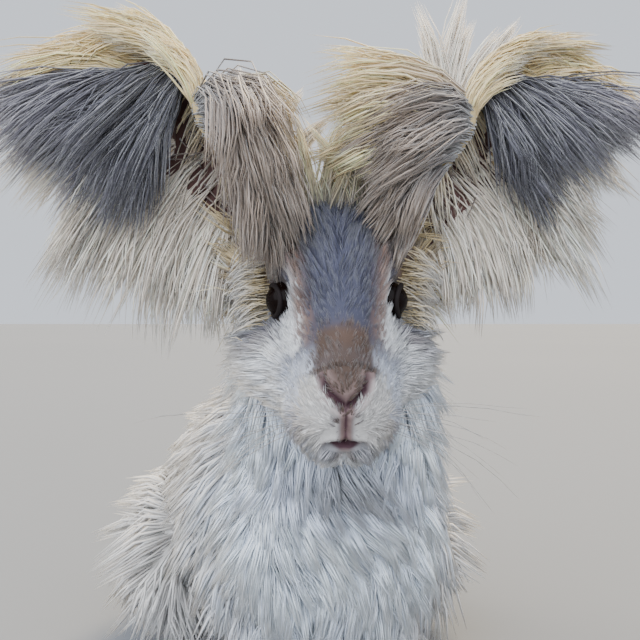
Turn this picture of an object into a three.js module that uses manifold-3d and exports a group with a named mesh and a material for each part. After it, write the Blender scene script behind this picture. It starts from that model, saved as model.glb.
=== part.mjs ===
// A long-haired rabbit sitting up on its haunches' feet and forepaws, life size.
// Millimetres, +Z up. It faces -Y, so +X is the side of the picture's right hand.
import * as THREE from 'three';
import { mergeVertices } from 'three/addons/utils/BufferGeometryUtils.js';
import Module from 'manifold-3d';

const wasm = await Module();
wasm.setup();
const { Manifold, Mesh } = wasm;

// Driving dimensions
const eye = { y: -75, z: 222, halfSpan: 24, radius: 8.2 };
const headPitch = 50;
const headYaw = 3.5;
const bodyYaw = 10;
const bodyPivotY = -40;
const gap = 0.32;
const lockGap = 0.5;

const degree = Math.PI / 180;
const { lerp, smoothstep } = THREE.MathUtils;
const vec = (x, y, z) => new THREE.Vector3(x, y, z);

// A seeded draw between -1 and 1, so that every build is the same.
function makeDraw(seed) {
  let state = seed;
  return () => {
    state = (Math.imul(state, 1664525) + 1013904223) >>> 0;
    return state / 2147483648 - 1;
  };
}

// Closed bodies from rings of points

function bodyOf(points, faces) {
  const geometry = new THREE.BufferGeometry().setFromPoints(points);
  geometry.setIndex(faces.flat());
  return mergeVertices(geometry, 1e-4);
}

// Rings of equal length joined in order. A ring of one point is a tip, and `across` closes a bent strip.
function loft(rings, across = false) {
  const points = rings.flat();
  const starts = [];
  let count = 0;
  for (const ring of rings) {
    starts.push(count);
    count += ring.length;
  }
  const faces = [];
  for (let i = 0; i + 1 < rings.length; i++) {
    const n = rings[i].length;
    const m = rings[i + 1].length;
    const [a, b] = [starts[i], starts[i + 1]];
    for (let j = 0; j < Math.max(n, m); j++) {
      const k = (j + 1) % Math.max(n, m);
      if (m === 1) faces.push([a + j, a + k, b]);
      else if (n === 1) faces.push([a, b + k, b + j]);
      else faces.push([a + j, a + k, b + k], [a + j, b + k, b + j]);
    }
  }
  const cap = (start, n, flip) => {
    if (n === 1) return;
    const half = n / 2;
    for (let j = 0; j < (across ? half - 1 : n - 2); j++) {
      const set = across
        ? [[start + j, start + n - 2 - j, start + j + 1], [start + j, start + n - 1 - j, start + n - 2 - j]]
        : [[start, start + j + 2, start + j + 1]];
      faces.push(...(flip ? set.map(([p, q, r]) => [p, r, q]) : set));
    }
  };
  cap(starts[0], rings[0].length, false);
  cap(starts.at(-1), rings.at(-1).length, true);
  return facingOut(bodyOf(points, faces));
}

function facingOut(geometry) {
  const p = geometry.attributes.position;
  const [a, b, c] = [vec(), vec(), vec()];
  let volume = 0;
  for (let i = 0; i < geometry.index.count; i += 3) {
    a.fromBufferAttribute(p, geometry.index.getX(i));
    b.fromBufferAttribute(p, geometry.index.getX(i + 1));
    c.fromBufferAttribute(p, geometry.index.getX(i + 2));
    volume += a.dot(b.cross(c));
  }
  if (volume < 0) geometry.index.array.reverse();
  return geometry;
}

// The same body a little larger, to cut a neighbour clear of it.
function grown(geometry, by) {
  const larger = geometry.clone();
  larger.computeVertexNormals();
  const { position, normal } = larger.attributes;
  for (let i = 0; i < position.count; i++) {
    position.setXYZ(
      i,
      position.getX(i) + by * normal.getX(i),
      position.getY(i) + by * normal.getY(i),
      position.getZ(i) + by * normal.getZ(i),
    );
  }
  larger.deleteAttribute('normal');
  return larger;
}

function solid(geometry) {
  const clean = geometry.clone();
  for (const name of Object.keys(clean.attributes)) if (name !== 'position') clean.deleteAttribute(name);
  const merged = mergeVertices(clean, 1e-4);
  return new Manifold(new Mesh({
    numProp: 3,
    vertProperties: new Float32Array(merged.attributes.position.array),
    triVerts: new Uint32Array(merged.index.array),
  }));
}

const joined = (geometries) => Manifold.union(geometries.map(solid));
const largest = (body) => body.decompose().reduce((a, b) => (b.volume() > a.volume() ? b : a));

const splineOf = (points) => new THREE.CatmullRomCurve3(points, false, 'centripetal');

// Tubes along a spine: stations hold a centre and half sizes, sideways, on the near and on the far side.

function tube(stations, place = (p) => p) {
  const centre = splineOf(stations.map(([x, y, z]) => vec(x, y, z)));
  const size = splineOf(stations.map((s) => vec(s[3], s[4], s[5])));
  const at = (u, t) => {
    const c = centre.getPoint(t);
    const along = centre.getTangent(t);
    const side = vec(1, 0, 0).addScaledVector(along, -along.x).normalize();
    const near = side.clone().cross(along);
    const s = size.getPoint(t);
    const a = 2 * Math.PI * u;
    const sine = Math.sin(a);
    const reach = (sine > 0 ? s.y : s.z) * sine;
    return place(c.addScaledVector(side, s.x * Math.cos(a)).addScaledVector(near, reach));
  };
  return { at, normal: normalOf(at, 1) };
}

function normalOf(at, sign) {
  const step = 0.01;
  return (u, t) => {
    const [t0, t1] = [Math.max(0, t - step), Math.min(1, t + step)];
    const aroundIt = at(u + step, t).sub(at(u - step, t));
    const alongIt = at(u, t1).sub(at(u, t0));
    return alongIt.cross(aroundIt).normalize().multiplyScalar(sign);
  };
}

function skin(surface, sides, steps, spacing = (t) => t) {
  const rings = [];
  for (let i = 0; i <= steps; i++) {
    const t = spacing(i / steps);
    rings.push(Array.from({ length: sides }, (_, j) => surface.at(j / sides, t)));
  }
  return loft(rings);
}

// The body turns a little about the neck, so that the rump lies behind the picture's left side.
const turned = (p) => vec(p.x, p.y - bodyPivotY, p.z)
  .applyAxisAngle(vec(0, 0, 1), bodyYaw * degree)
  .add(vec(0, bodyPivotY, 0));

const torsoSurface = tube([
  [0, -72, 116, 12, 16, 16],
  [0, -65, 116, 36, 42, 38],
  [0, -40, 118, 50, 66, 60],
  [0, 0, 116, 60, 78, 78],
  [0, 45, 108, 68, 82, 86],
  [0, 95, 98, 76, 82, 84],
  [0, 140, 88, 78, 76, 76],
  [0, 176, 78, 68, 62, 66],
  [0, 200, 70, 44, 40, 44],
  [0, 210, 68, 12, 12, 12],
], turned);

const neckSurface = tube([
  [0, -26, 108, 30, 34, 22],
  [0, -28, 128, 47, 48, 42],
  [0, -32, 160, 46, 45, 44],
  [0, -38, 190, 42, 38, 38],
  [0, -42, 216, 34, 28, 30],
  [0, -44, 232, 10, 10, 10],
]);

const tailSurface = tube([
  [0, 196, 56, 8, 8, 8],
  [0, 208, 60, 20, 19, 20],
  [0, 222, 74, 25, 22, 24],
  [0, 226, 96, 19, 17, 19],
  [0, 222, 114, 5, 5, 5],
], turned);

const forelegSurface = (sign) => tube([
  [sign * 33, 2, 92, 10, 10, 10],
  [sign * 33, -2, 80, 21, 25, 22],
  [sign * 31, -14, 54, 16, 17, 15],
  [sign * 29, -30, 26, 13, 13, 13],
  [sign * 28, -37, 13, 14, 15, 17],
  [sign * 28, -40, 3, 14, 14, 20],
  [sign * 28, -40, -3, 12, 12, 18],
], turned);

const thighSurface = (sign) => tube([
  [sign * 60, 62, 58, 10, 10, 10],
  [sign * 66, 72, 60, 26, 34, 34],
  [sign * 68, 102, 64, 33, 50, 48],
  [sign * 66, 136, 62, 33, 50, 50],
  [sign * 60, 168, 54, 26, 36, 38],
  [sign * 56, 180, 50, 8, 10, 10],
], turned);

const hindfootSurface = (sign) => tube([
  [sign * 62, 158, 8, 6, 6, 6],
  [sign * 62, 152, 10, 14, 14, 14],
  [sign * 64, 116, 12, 16, 16, 16],
  [sign * 65, 76, 10, 17, 15, 14],
  [sign * 65, 46, 9, 16, 12, 12],
  [sign * 65, 34, 7, 6, 5, 5],
], turned);

// The head, in a frame of its own: forwards down the nose, upwards out of the forehead, sideways.
const headForward = vec(0, -Math.cos(headPitch * degree), -Math.sin(headPitch * degree));
const headUp = vec(0, -Math.sin(headPitch * degree), Math.cos(headPitch * degree));
const eyeCentre = vec(0, eye.y, eye.z);
const headTurn = (p) => p.sub(eyeCentre).applyAxisAngle(vec(0, 0, 1), headYaw * degree).add(eyeCentre);
const inHead = (side, forward, up) => headTurn(
  eyeCentre.clone().add(vec(side, 0, 0)).addScaledVector(headForward, forward).addScaledVector(headUp, up),
);

// Stations down the head: forward, widest height, half width, and the height above and below it.
const headStations = [
  [-54, 2, 6, 6, 6],
  [-50, 0, 18, 16, 18],
  [-38, -4, 29, 27, 30],
  [-22, -8, 33, 34, 35],
  [-4, -10, 31, 36, 36],
  [12, -12, 29, 35, 35],
  [28, -12, 26.5, 31, 32],
  [42, -11, 22.5, 26.5, 28],
  [54, -9, 19, 20.5, 24],
  [63, -10, 15, 13.5, 17],
  [68, -12, 10, 7, 9],
  [69.5, -13, 3, 2, 3],
];
const headLine = splineOf(headStations.map((s) => vec(s[0], s[1], 0)));
const headSize = splineOf(headStations.map((s) => vec(s[2], s[3], s[4])));

// Swellings of the head, each mirrored: place (forward, up), reach, and how far the side moves out.
const swellings = [
  { forward: 20, up: -27, reach: 15, out: 14 },
  { forward: -26, up: -5, reach: 12, out: 8 },
  { forward: 55, up: -8, reach: 8.5, out: 4 },
  { forward: 1, up: 0, reach: 9, out: -7 },
  { forward: -3, up: 14, reach: 8, out: 3 },
  { forward: 24, up: 2, reach: 12, out: -2.5 },
];
const headSurface = { at: headPoint, normal: normalOf(headPoint, -1) };
function headPoint(u, t) {
  const line = headLine.getPoint(t);
  const size = headSize.getPoint(t);
  const a = 2 * Math.PI * u;
  let side = size.x * Math.cos(a);
  const up = line.y + (Math.sin(a) > 0 ? size.y : size.z) * Math.sin(a);
  const flank = Math.abs(Math.cos(a)) ** 0.6 * Math.sign(Math.cos(a));
  for (const s of swellings) {
    const far = ((line.x - s.forward) ** 2 + (up - s.up) ** 2) / (2 * s.reach ** 2);
    side += s.out * Math.exp(-far) * flank;
  }
  return inHead(side, line.x, up);
}

// Ears: a cupped leaf along an arch. `sign` is -1 for the ear on the picture's left.
const earArch = [
  [23, -50, 248],
  [31, -48, 284],
  [52, -46, 315],
  [74, -46, 329],
  [104, -50, 322],
];
// The ear of the picture's right is held a little lower and closer.
const earSize = { left: 1, right: 0.93 };
const sizeOf = (sign) => (sign < 0 ? earSize.left : earSize.right);
const earRoot = vec(...earArch[0]);
const earSections = {
  rolled: [[19, -22], [12, -25], [3, -20], [-3, -7], [3, 4], [22, 8], [46, 5]],
  open: [[-9, -7], [-5, -3], [1, 0], [9, 1], [20, 1], [33, -1], [46, -5]],
};
const earScale = [0.5, 0.86, 1, 0.9, 0.3];
const earThickness = 3.2;

function earShape(sign) {
  const arch = new THREE.CatmullRomCurve3(earArch.map((p) => vec(...p)
    .lerp(earRoot, 1 - sizeOf(sign))
    .multiply(vec(sign, 1, 1))));
  const scale = new THREE.CatmullRomCurve3(earScale.map((s, i) => vec(s, i, 0)));
  const [rolled, open] = [earSections.rolled, earSections.open]
    .map((list) => new THREE.CatmullRomCurve3(list.map(([x, y]) => vec(x, y, 0))));
  // w runs from the front edge to the back edge, s from the root to the tip.
  const at = (w, s) => {
    const along = arch.getTangent(s);
    const sideways = vec(0, 1, 0).cross(along).multiplyScalar(sign).normalize();
    const section = rolled.getPoint(w).lerp(open.getPoint(w), smoothstep(s, 0.4, 0.85));
    const k = scale.getPoint(s).x;
    return arch.getPoint(s).addScaledVector(sideways, k * section.x).add(vec(0, k * section.y, 0));
  };
  return { at, normal: (w, s) => earNormal(at, w, s, sign) };
}

// Out of the ear's inner face, towards its hollow.
function earNormal(at, w, s, sign) {
  const step = 0.02;
  const clamp = (v) => Math.min(1, Math.max(0, v));
  const across = at(clamp(w + step), s).sub(at(clamp(w - step), s));
  const along = at(w, clamp(s + step)).sub(at(w, clamp(s - step)));
  return across.cross(along).multiplyScalar(sign).normalize();
}

function earLeaf(shape) {
  const [steps, columns] = [10, 8];
  const rings = [];
  for (let i = 0; i <= steps; i++) {
    const s = i / steps;
    const inner = [];
    const outer = [];
    for (let j = 0; j <= columns; j++) {
      const w = j / columns;
      const half = earThickness / 2 * (j === 0 || j === columns ? 0.45 : 1);
      const [p, n] = [shape.at(w, s), shape.normal(w, s)];
      inner.push(p.clone().addScaledVector(n, half));
      outer.unshift(p.clone().addScaledVector(n, -half));
    }
    rings.push([...inner, ...outer]);
  }
  return loft(rings, true);
}

// Locks: flat, tapered and three-sided, along a bent path of points with the flat side down.

const lockShares = [[0.7, 0.9], [1, 1], [0.66, 0.62], [0.4, 0.4]];

function lockBody(path, outward, width, thick, around) {
  const ways = path.map((p, i) => path[Math.min(path.length - 1, i + 1)].clone()
    .sub(path[Math.max(0, i - 1)]).normalize());
  const reachWay = path.at(-1).clone().sub(path[0]).normalize();
  const flatWay = Math.abs(reachWay.dot(outward)) < 0.94 ? outward : vec(0, -1, 0.4);
  const side = reachWay.cross(flatWay).normalize();
  const ring = (p, along, wide, deep) => {
    const up = side.clone().cross(along).normalize();
    const foot = p.clone().addScaledVector(up, -0.4 * thick * deep - around);
    const reach = width * wide / 2 + 2.4 * around;
    return [
      foot.clone().addScaledVector(side, -reach),
      foot.clone().addScaledVector(side, reach),
      p.clone().addScaledVector(up, 0.6 * thick * deep + 1.3 * around),
    ];
  };
  const rings = path.slice(0, -1).map((p, i) => {
    const share = lockShares[Math.min(i, lockShares.length - 1)];
    return ring(i ? p : p.clone().addScaledVector(ways[0], -around), ways[i], ...share);
  });
  const tip = path.at(-1);
  if (around) rings.push(ring(tip, ways.at(-1), 0, 0));
  return loft([...rings, [tip.clone().addScaledVector(ways.at(-1), 3 * around)]]);
}

// Each lock comes with the room that others leave around it.
const lock = (path, outward, width, thick) => ({
  body: lockBody(path, outward, width, thick, 0),
  room: lockBody(path, outward, width, thick, lockGap),
});

// A step over a surface from (u, t) along a direction in space.
function stepOver(surface, u, t, move) {
  const e = 0.004;
  const [t0, t1] = [Math.max(0, t - e), Math.min(1, t + e)];
  const pu = surface.at(u + e, t).sub(surface.at(u - e, t)).divideScalar(2 * e);
  const pt = surface.at(u, t1).sub(surface.at(u, t0)).divideScalar(t1 - t0);
  const [a, b, c] = [pu.dot(pu), pu.dot(pt), pt.dot(pt)];
  const det = a * c - b * b;
  const [m, n] = [pu.dot(move), pt.dot(move)];
  if (det < 1e-6 * a * c) return [u, t];
  return [u + (c * m - b * n) / det, t + (a * n - b * m) / det];
}

// A lock that lies along a surface: its root is sunk, and its tip stands off by `rise`.
function laidLock(surface, u, t, flow, { length, width, thick, rise, sink = 4, pieces = 3 }) {
  const path = [];
  const out = surface.normal(u, t);
  let [pu, pt] = [u, t];
  let spot = surface.at(u, t);
  for (let i = 0; i <= pieces; i++) {
    const s = i / pieces;
    const lift = lerp(-sink, rise, Math.min(1, 1.6 * s)) + 0.25 * rise * s;
    const inside = pt > 0.02 && pt < 0.98;
    const n = inside ? surface.normal(pu, pt) : out;
    path.push(spot.clone().addScaledVector(n, lift));
    const way = flow(spot, n);
    way.addScaledVector(n, -way.dot(n)).normalize().multiplyScalar(length / pieces);
    if (inside) {
      [pu, pt] = stepOver(surface, pu, pt, way);
      pt = Math.min(0.999, Math.max(0.001, pt));
      spot = surface.at(pu, pt);
    } else spot = spot.clone().add(way);
  }
  return folds(path) ? [] : [lock(path, surface.normal(u, t), width, thick)];
}

// A path that turns by more than about 50 degrees at a point would cross itself as a lock.
function folds(path) {
  const ways = path.slice(1).map((p, i) => p.clone().sub(path[i]).normalize());
  return ways.slice(1).some((way, i) => way.dot(ways[i]) < 0.64);
}

// Rows of locks over a surface, staggered, evenly spread and each a little different.
function coat(surface, { rows, spacing, keep = () => true, flow, seed, ...size }) {
  const draw = makeDraw(seed);
  const locks = [];
  rows.forEach((t, row) => {
    let around = 0;
    for (let j = 0; j < 24; j++) around += surface.at(j / 24, t).distanceTo(surface.at((j + 1) / 24, t));
    const count = Math.max(3, Math.round(around / spacing));
    for (let j = 0; j < count; j++) {
      const u = (j + (row % 2) / 2 + 0.18 * draw()) / count;
      const [a, b, c] = [1 + 0.14 * draw(), 1 + 0.16 * draw(), 0.25 * draw()];
      if (!keep(surface.at(u, t), surface.normal(u, t))) continue;
      const turnedFlow = (p, n) => flow(p, n).normalize().applyAxisAngle(n, c);
      locks.push(...laidLock(surface, u, t, turnedFlow, {
        ...size, length: size.length * a, width: size.width * b,
      }));
    }
  });
  return locks;
}

// A free lock from a root, turning from one direction to another.
function freeLock(root, from, to, length, width, thick, outward, pieces = 3) {
  const path = [root.clone()];
  for (let i = 0; i < pieces; i++) {
    const way = from.clone().lerp(to, i / (pieces - 1)).normalize();
    path.push(path[i].clone().addScaledVector(way, length / pieces));
  }
  return lock(path, outward, width, thick);
}

// Ear locks run in families along the leaf. Directions are outwards from the head, back and up.
const earFamilies = [
  { // cream crest over the arch
    edge: [0.14, 0.12], run: [0.4, 1], count: 7, face: -1,
    from: [[0.3, 0, 0.9], [1, 0, 0.25]], to: [[0.95, 0, 0.45], [0.8, 0, -0.65]],
    length: [28, 56], swell: 4, width: 24,
  },
  { // pale fringe hanging from the back edge
    edge: [0.97, 0.97], run: [0.1, 1], count: 7, face: 1,
    from: [[0.6, -0.1, -0.8], [1, 0, -0.1]], to: [[0.05, 0, -1], [0.8, 0, -0.7]],
    length: [48, 60], swell: 16, width: 34,
  },
  { // slate fan over the inner face
    edge: [0.5, 0.6], run: [0.6, 0.96], count: 5, face: 1,
    from: [[0.5, -0.5, -0.7], [1, -0.3, 0]], to: [[0.15, 0, -1], [0.8, 0, -0.6]],
    length: [60, 64], swell: 6, width: 32,
  },
  { // drape over the front edge and the root
    edge: [0.16, 0.2], run: [0.3, 0.72], count: 3, face: -1,
    from: [[-0.05, -0.6, -0.6], [-0.3, -0.6, 0.1]], to: [[0.1, 0, -1], [-0.1, 0, -1]],
    length: [40, 60], swell: 0, width: 22,
  },
  { // back of the ear
    edge: [0.6, 0.75], run: [0.3, 0.95], count: 3, face: -1,
    from: [[0.4, 0.6, -0.5], [0.9, 0.4, 0]], to: [[0.2, 0.1, -1], [0.8, 0, -0.7]],
    length: [52, 56], swell: 8, width: 34,
  },
];
const earLockThick = 4.6;

function earLocks(sign, stretch, seed) {
  const shape = earShape(sign);
  const draw = makeDraw(seed);
  const blend = ([a, b], k) => vec(...a).lerp(vec(...b), k).multiply(vec(sign, 1, 1)).normalize();
  return earFamilies.flatMap((family) => Array.from({ length: family.count }, (_, i) => {
    const k = i / (family.count - 1);
    const w = lerp(...family.edge, k) + 0.02 * draw();
    const s = Math.min(0.99, lerp(...family.run, k));
    const n = shape.normal(w, s).multiplyScalar(family.face);
    const root = shape.at(w, s).addScaledVector(n, -0.6);
    const tilt = vec(0.12 * draw(), 0.1 * draw(), 0.12 * draw());
    const length = lerp(...family.length, k) + family.swell * Math.sin(Math.PI * k);
    const size = stretch * (1 + 0.12 * draw());
    return freeLock(
      root, blend(family.from, k).add(tilt), blend(family.to, k).add(tilt),
      length * size, family.width * (1 + 0.12 * draw()), earLockThick, n,
    );
  }));
}

// Tall wisps that stand on the ear of the picture's right, at a place over the head and leaning sideways.
const wisps = [
  [44, 300, -9, 60], [49, 304, 8, 60], [54, 307, 13, 54], [60, 310, 32, 44],
];
const wispWidth = 9;
const standingWisps = wisps.map(([x, z, lean, tall]) => freeLock(
  vec(x, earArch[2][1], z), vec(0, 0, 1), vec(lean, -3, tall).normalize(),
  tall, wispWidth, earLockThick, vec(0, -1, 0),
));

// The face: lids round each eye, nostrils, the cleft of the lip and the mouth.
const lid = { across: 9.2, thick: 1.7, stand: 3.4, tall: 1.06 };
const eyeOut = (sign) => inHead(sign, 0.12, 0.1).sub(inHead(0, 0, 0)).normalize();

function lidRing(sign) {
  const ring = new THREE.TorusGeometry(lid.across, lid.thick, 5, 14);
  ring.deleteAttribute('uv');
  ring.deleteAttribute('normal');
  const out = eyeOut(sign);
  ring.scale(1, lid.tall, 1).applyQuaternion(new THREE.Quaternion().setFromUnitVectors(vec(0, 0, 1), out));
  const at = inHead(sign * (eye.halfSpan - 2), 0, 0).addScaledVector(out, lid.stand);
  return mergeVertices(ring.translate(at.x, at.y, at.z), 1e-4);
}

// A groove cut into the muzzle: a thin leaf through points on the surface of the face.
function groove(points, wide, deep) {
  const inwards = headForward.clone().multiplyScalar(-deep);
  const rings = points.map((p, i) => {
    const [before, after] = [points[Math.max(0, i - 1)], points[Math.min(points.length - 1, i + 1)]];
    const along = after.clone().sub(before).normalize();
    const side = along.cross(headForward).normalize().multiplyScalar(wide / 2);
    const front = p.clone().addScaledVector(headForward, 6);
    return [front.clone().add(side), front.clone().sub(side), p.clone().add(inwards)];
  });
  return loft(rings);
}

const muzzle = { front: 66, noseUp: 6, mouthUp: -6.5, mouthHalf: 7.5 };
const faceCuts = [
  groove([
    inHead(0, muzzle.front - 1, muzzle.noseUp),
    inHead(0, muzzle.front + 1, muzzle.mouthUp),
  ], 1.6, 2.4),
  groove([-1, -0.5, 0, 0.5, 1].map((k) => inHead(
    k * muzzle.mouthHalf, muzzle.front + 0.5 - 2.5 * k * k, muzzle.mouthUp - 1.6 * k * k,
  )), 2.2, 2.6),
  ...[-1, 1].map((sign) => groove([0, 0.5, 1].map((k) => inHead(
    sign * (1 + 7.4 * k), muzzle.front - 2 - 4.5 * k, muzzle.noseUp + 1 + 4 * k,
  )), 2, 2.2)),
];

// Flows of the coat
const down = vec(0, 0, -1);
const backwards = turned(vec(0, bodyPivotY + 1, 0)).sub(turned(vec(0, bodyPivotY, 0)));
const torsoFlow = (p) => {
  const front = smoothstep(p.y, -60, 10);
  return down.clone().multiplyScalar(lerp(1, 0.55, front)).addScaledVector(backwards, 0.85 * front);
};
const chinFlow = () => vec(0, 0.2, -1);
const templeFlow = (p) => vec(Math.sign(p.x) * 1.2, 0.7, -0.5);

// Tufts between the ears: sideways place, lean sideways and length.
const crownTufts = [
  [-16, -0.4, 64], [-10, -0.2, 60], [-3, -0.05, 44], [4, -0.35, 40], [11, -0.5, 50], [16, 0.1, 44],
];
const crown = { forward: -34, up: 20, width: 15, thick: 5 };
const crownLocks = crownTufts.map(([side, lean, length]) => freeLock(
  inHead(side, crown.forward, crown.up), vec(0.3 * lean, 0.35, 1), vec(lean, 0.25, 0.9),
  length, crown.width, crown.thick, vec(0, -1, 0.3),
));
const headLocks = [
  ...crownLocks,
  ...coat(headSurface, {
    rows: [0.24, 0.4], spacing: 18, seed: 5, flow: templeFlow,
    length: 26, width: 14, thick: 4, rise: 8, sink: 3,
    keep: (p, n) => Math.abs(n.x) > 0.75 && p.y > -74 && p.z > 175,
  }),
  ...coat(headSurface, {
    rows: [0.8], spacing: 11, seed: 7, flow: chinFlow, length: 17, width: 9, thick: 3.4, rise: 3, sink: 3,
    keep: (p, n) => n.z < -0.35 && Math.abs(p.x) < 20,
  }),
];
const neckLocks = coat(neckSurface, {
  rows: [0.78, 0.6, 0.42, 0.24], spacing: 28, seed: 11, flow: () => down.clone(),
  length: 44, width: 23, thick: 6, rise: 9, sink: 4,
});
const torsoLocks = coat(torsoSurface, {
  rows: [0.16, 0.3, 0.44, 0.58, 0.72, 0.86], spacing: 42, seed: 17, flow: torsoFlow,
  length: 68, width: 37, thick: 9, rise: 13, sink: 5,
  keep: (p, n) => n.z > -0.55 && !(p.z > 150 && p.y < 0),
});
const thighLocks = (sign, seed) => coat(thighSurface(sign), {
  rows: [0.3, 0.5, 0.7], spacing: 30, seed, flow: (p) => torsoFlow(p),
  length: 46, width: 26, thick: 7, rise: 9, sink: 4,
  keep: (p, n) => n.x * sign > 0.25 && p.z > 30,
});
const tailLocks = coat(tailSurface, {
  rows: [0.35, 0.6, 0.8], spacing: 26, seed: 23, flow: () => vec(0, 0.35, 1),
  length: 36, width: 22, thick: 7, rise: 9, sink: 4,
  keep: (p, n) => n.y > -0.2,
});

// Looks, as on the animal
const finish = (color, roughness = 0.9) => new THREE.MeshStandardMaterial({
  color, roughness, metalness: 0,
});
const looks = {
  white: finish('#e8e8e6'),
  grey: finish('#8d90a3'),
  cream: finish('#d9cfbd'),
  eye: finish('#0d0a0a', 0.08),
};

const rabbit = new THREE.Group();
function addPart(name, body, material) {
  const made = largest(body).getMesh();
  const geometry = new THREE.BufferGeometry();
  geometry.setAttribute('position', new THREE.BufferAttribute(made.vertProperties, 3));
  geometry.setIndex(new THREE.BufferAttribute(made.triVerts, 1));
  const mesh = new THREE.Mesh(geometry, material);
  mesh.name = name;
  rabbit.add(mesh);
}

// The floor cuts every foot and hair level.
const floor = solid(new THREE.BoxGeometry(700, 800, 100).translate(0, 80, -50));

const eyeBall = (sign) => {
  const ball = new THREE.SphereGeometry(eye.radius, 11, 8);
  ball.deleteAttribute('uv');
  ball.deleteAttribute('normal');
  const place = inHead(sign * (eye.halfSpan - 2), 0, 0);
  return mergeVertices(ball.translate(place.x, place.y, place.z), 1e-4);
};

// Every sub-part: its core, and the locks that grow on it. Each core is cut clear of the cores before it,
// and each set of locks clear of every other core and of the locks before it.
const subparts = [
  { name: 'eye_left', core: eyeBall(-1), look: looks.eye },
  { name: 'eye_right', core: eyeBall(1), look: looks.eye },
  {
    name: 'head', core: skin(headSurface, 28, 18), locks: headLocks, look: looks.white,
    extra: [lidRing(-1), lidRing(1)], cuts: faceCuts,
  },
  { name: 'ear_left', core: earLeaf(earShape(-1)), locks: earLocks(-1, 1.08, 31), look: looks.grey },
  {
    name: 'ear_right', core: earLeaf(earShape(1)), look: looks.grey,
    locks: [...earLocks(1, 0.86, 37), ...standingWisps],
  },
  { name: 'neck', core: skin(neckSurface, 20, 8), locks: neckLocks, look: looks.white },
  { name: 'hindfoot_left', core: skin(hindfootSurface(-1), 12, 9), look: looks.white },
  { name: 'hindfoot_right', core: skin(hindfootSurface(1), 12, 9), look: looks.white },
  { name: 'thigh_left', core: skin(thighSurface(-1), 14, 8), locks: thighLocks(-1, 41), look: looks.cream },
  { name: 'thigh_right', core: skin(thighSurface(1), 14, 8), locks: thighLocks(1, 43), look: looks.cream },
  { name: 'tail', core: skin(tailSurface, 12, 6), locks: tailLocks, look: looks.white },
  { name: 'foreleg_left', core: skin(forelegSurface(-1), 12, 10), look: looks.white },
  { name: 'foreleg_right', core: skin(forelegSurface(1), 12, 10), look: looks.white },
  { name: 'torso', core: skin(torsoSurface, 20, 11), locks: torsoLocks, look: looks.cream },
];
const rooms = subparts.map(({ core, extra = [] }) => joined([core, ...extra].map((g) => grown(g, gap))));
const cutClear = (body, others) => others.reduce((left, other) => left.subtract(other), body);
const lockRooms = [];
subparts.forEach((part, i) => {
  const { core, extra = [], cuts = [], locks } = part;
  let body = cutClear(joined([core, ...extra]), [...rooms.slice(0, i), ...cuts.map(solid), floor]);
  if (locks) {
    const others = [...rooms.filter((_, j) => j !== i), ...lockRooms, floor];
    body = body.add(cutClear(joined(locks.map((l) => l.body)), others));
    lockRooms.push(joined(locks.map((l) => l.room)));
  }
  addPart(part.name, body, part.look);
});

// The origin is under the middle of the whole animal, on the floor.
const box = new THREE.Box3().setFromObject(rabbit);
const middle = box.getCenter(vec());
rabbit.position.set(-middle.x, -middle.y, -box.min.z);

export default rabbit;
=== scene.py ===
import math

import bpy
import bmesh
import numpy as np
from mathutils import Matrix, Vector, kdtree


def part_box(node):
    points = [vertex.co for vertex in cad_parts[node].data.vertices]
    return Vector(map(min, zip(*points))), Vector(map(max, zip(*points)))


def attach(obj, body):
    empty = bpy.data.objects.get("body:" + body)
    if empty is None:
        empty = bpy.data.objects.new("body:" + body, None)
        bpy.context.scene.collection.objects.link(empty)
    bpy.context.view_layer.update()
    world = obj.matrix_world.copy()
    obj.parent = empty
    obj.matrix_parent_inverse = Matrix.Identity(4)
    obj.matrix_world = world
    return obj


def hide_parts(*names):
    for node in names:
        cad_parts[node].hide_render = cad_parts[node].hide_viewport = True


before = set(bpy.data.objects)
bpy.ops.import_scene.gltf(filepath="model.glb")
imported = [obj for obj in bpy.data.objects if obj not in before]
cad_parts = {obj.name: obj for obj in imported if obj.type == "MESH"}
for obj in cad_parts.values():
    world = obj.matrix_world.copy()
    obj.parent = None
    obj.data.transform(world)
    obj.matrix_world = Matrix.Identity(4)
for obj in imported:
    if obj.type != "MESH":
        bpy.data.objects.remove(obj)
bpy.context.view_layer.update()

MM = 0.001

# Sizes, in millimetres

EYE = np.array([0.0, -75.0, 222.0])
EYE_HALF_SPAN = 22.0
EYE_RADIUS = 8.2
HEAD_PITCH = math.radians(50)
HEAD_YAW = math.radians(3.5)
BODY_YAW = math.radians(10)
BODY_PIVOT_Y = -40.0

# Stations along each part: its centre, half width, and reach on its upper or front side and on the other
TORSO = [[0, -72, 116, 12, 16, 16], [0, -65, 116, 36, 42, 38], [0, -40, 118, 50, 66, 60],
         [0, 0, 116, 60, 78, 78], [0, 45, 108, 68, 82, 86], [0, 95, 98, 76, 82, 84],
         [0, 140, 88, 78, 76, 76], [0, 176, 78, 68, 62, 66], [0, 200, 70, 44, 40, 44],
         [0, 210, 68, 12, 12, 12]]
NECK = [[0, -26, 108, 30, 34, 22], [0, -28, 128, 47, 48, 42], [0, -32, 160, 46, 45, 44],
        [0, -38, 190, 42, 38, 38], [0, -42, 216, 34, 28, 30], [0, -44, 232, 10, 10, 10]]
TAIL = [[0, 196, 56, 8, 8, 8], [0, 208, 60, 20, 19, 20], [0, 222, 74, 25, 22, 24],
        [0, 226, 96, 19, 17, 19], [0, 222, 114, 5, 5, 5]]


def foreleg(s):
    return [[s * 33, 2, 92, 10, 10, 10], [s * 33, -2, 80, 21, 25, 22], [s * 31, -14, 54, 16, 17, 15],
            [s * 29, -30, 26, 13, 13, 13], [s * 28, -37, 13, 14, 15, 17], [s * 28, -40, 3, 14, 14, 20],
            [s * 28, -40, -3, 12, 12, 18]]


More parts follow.
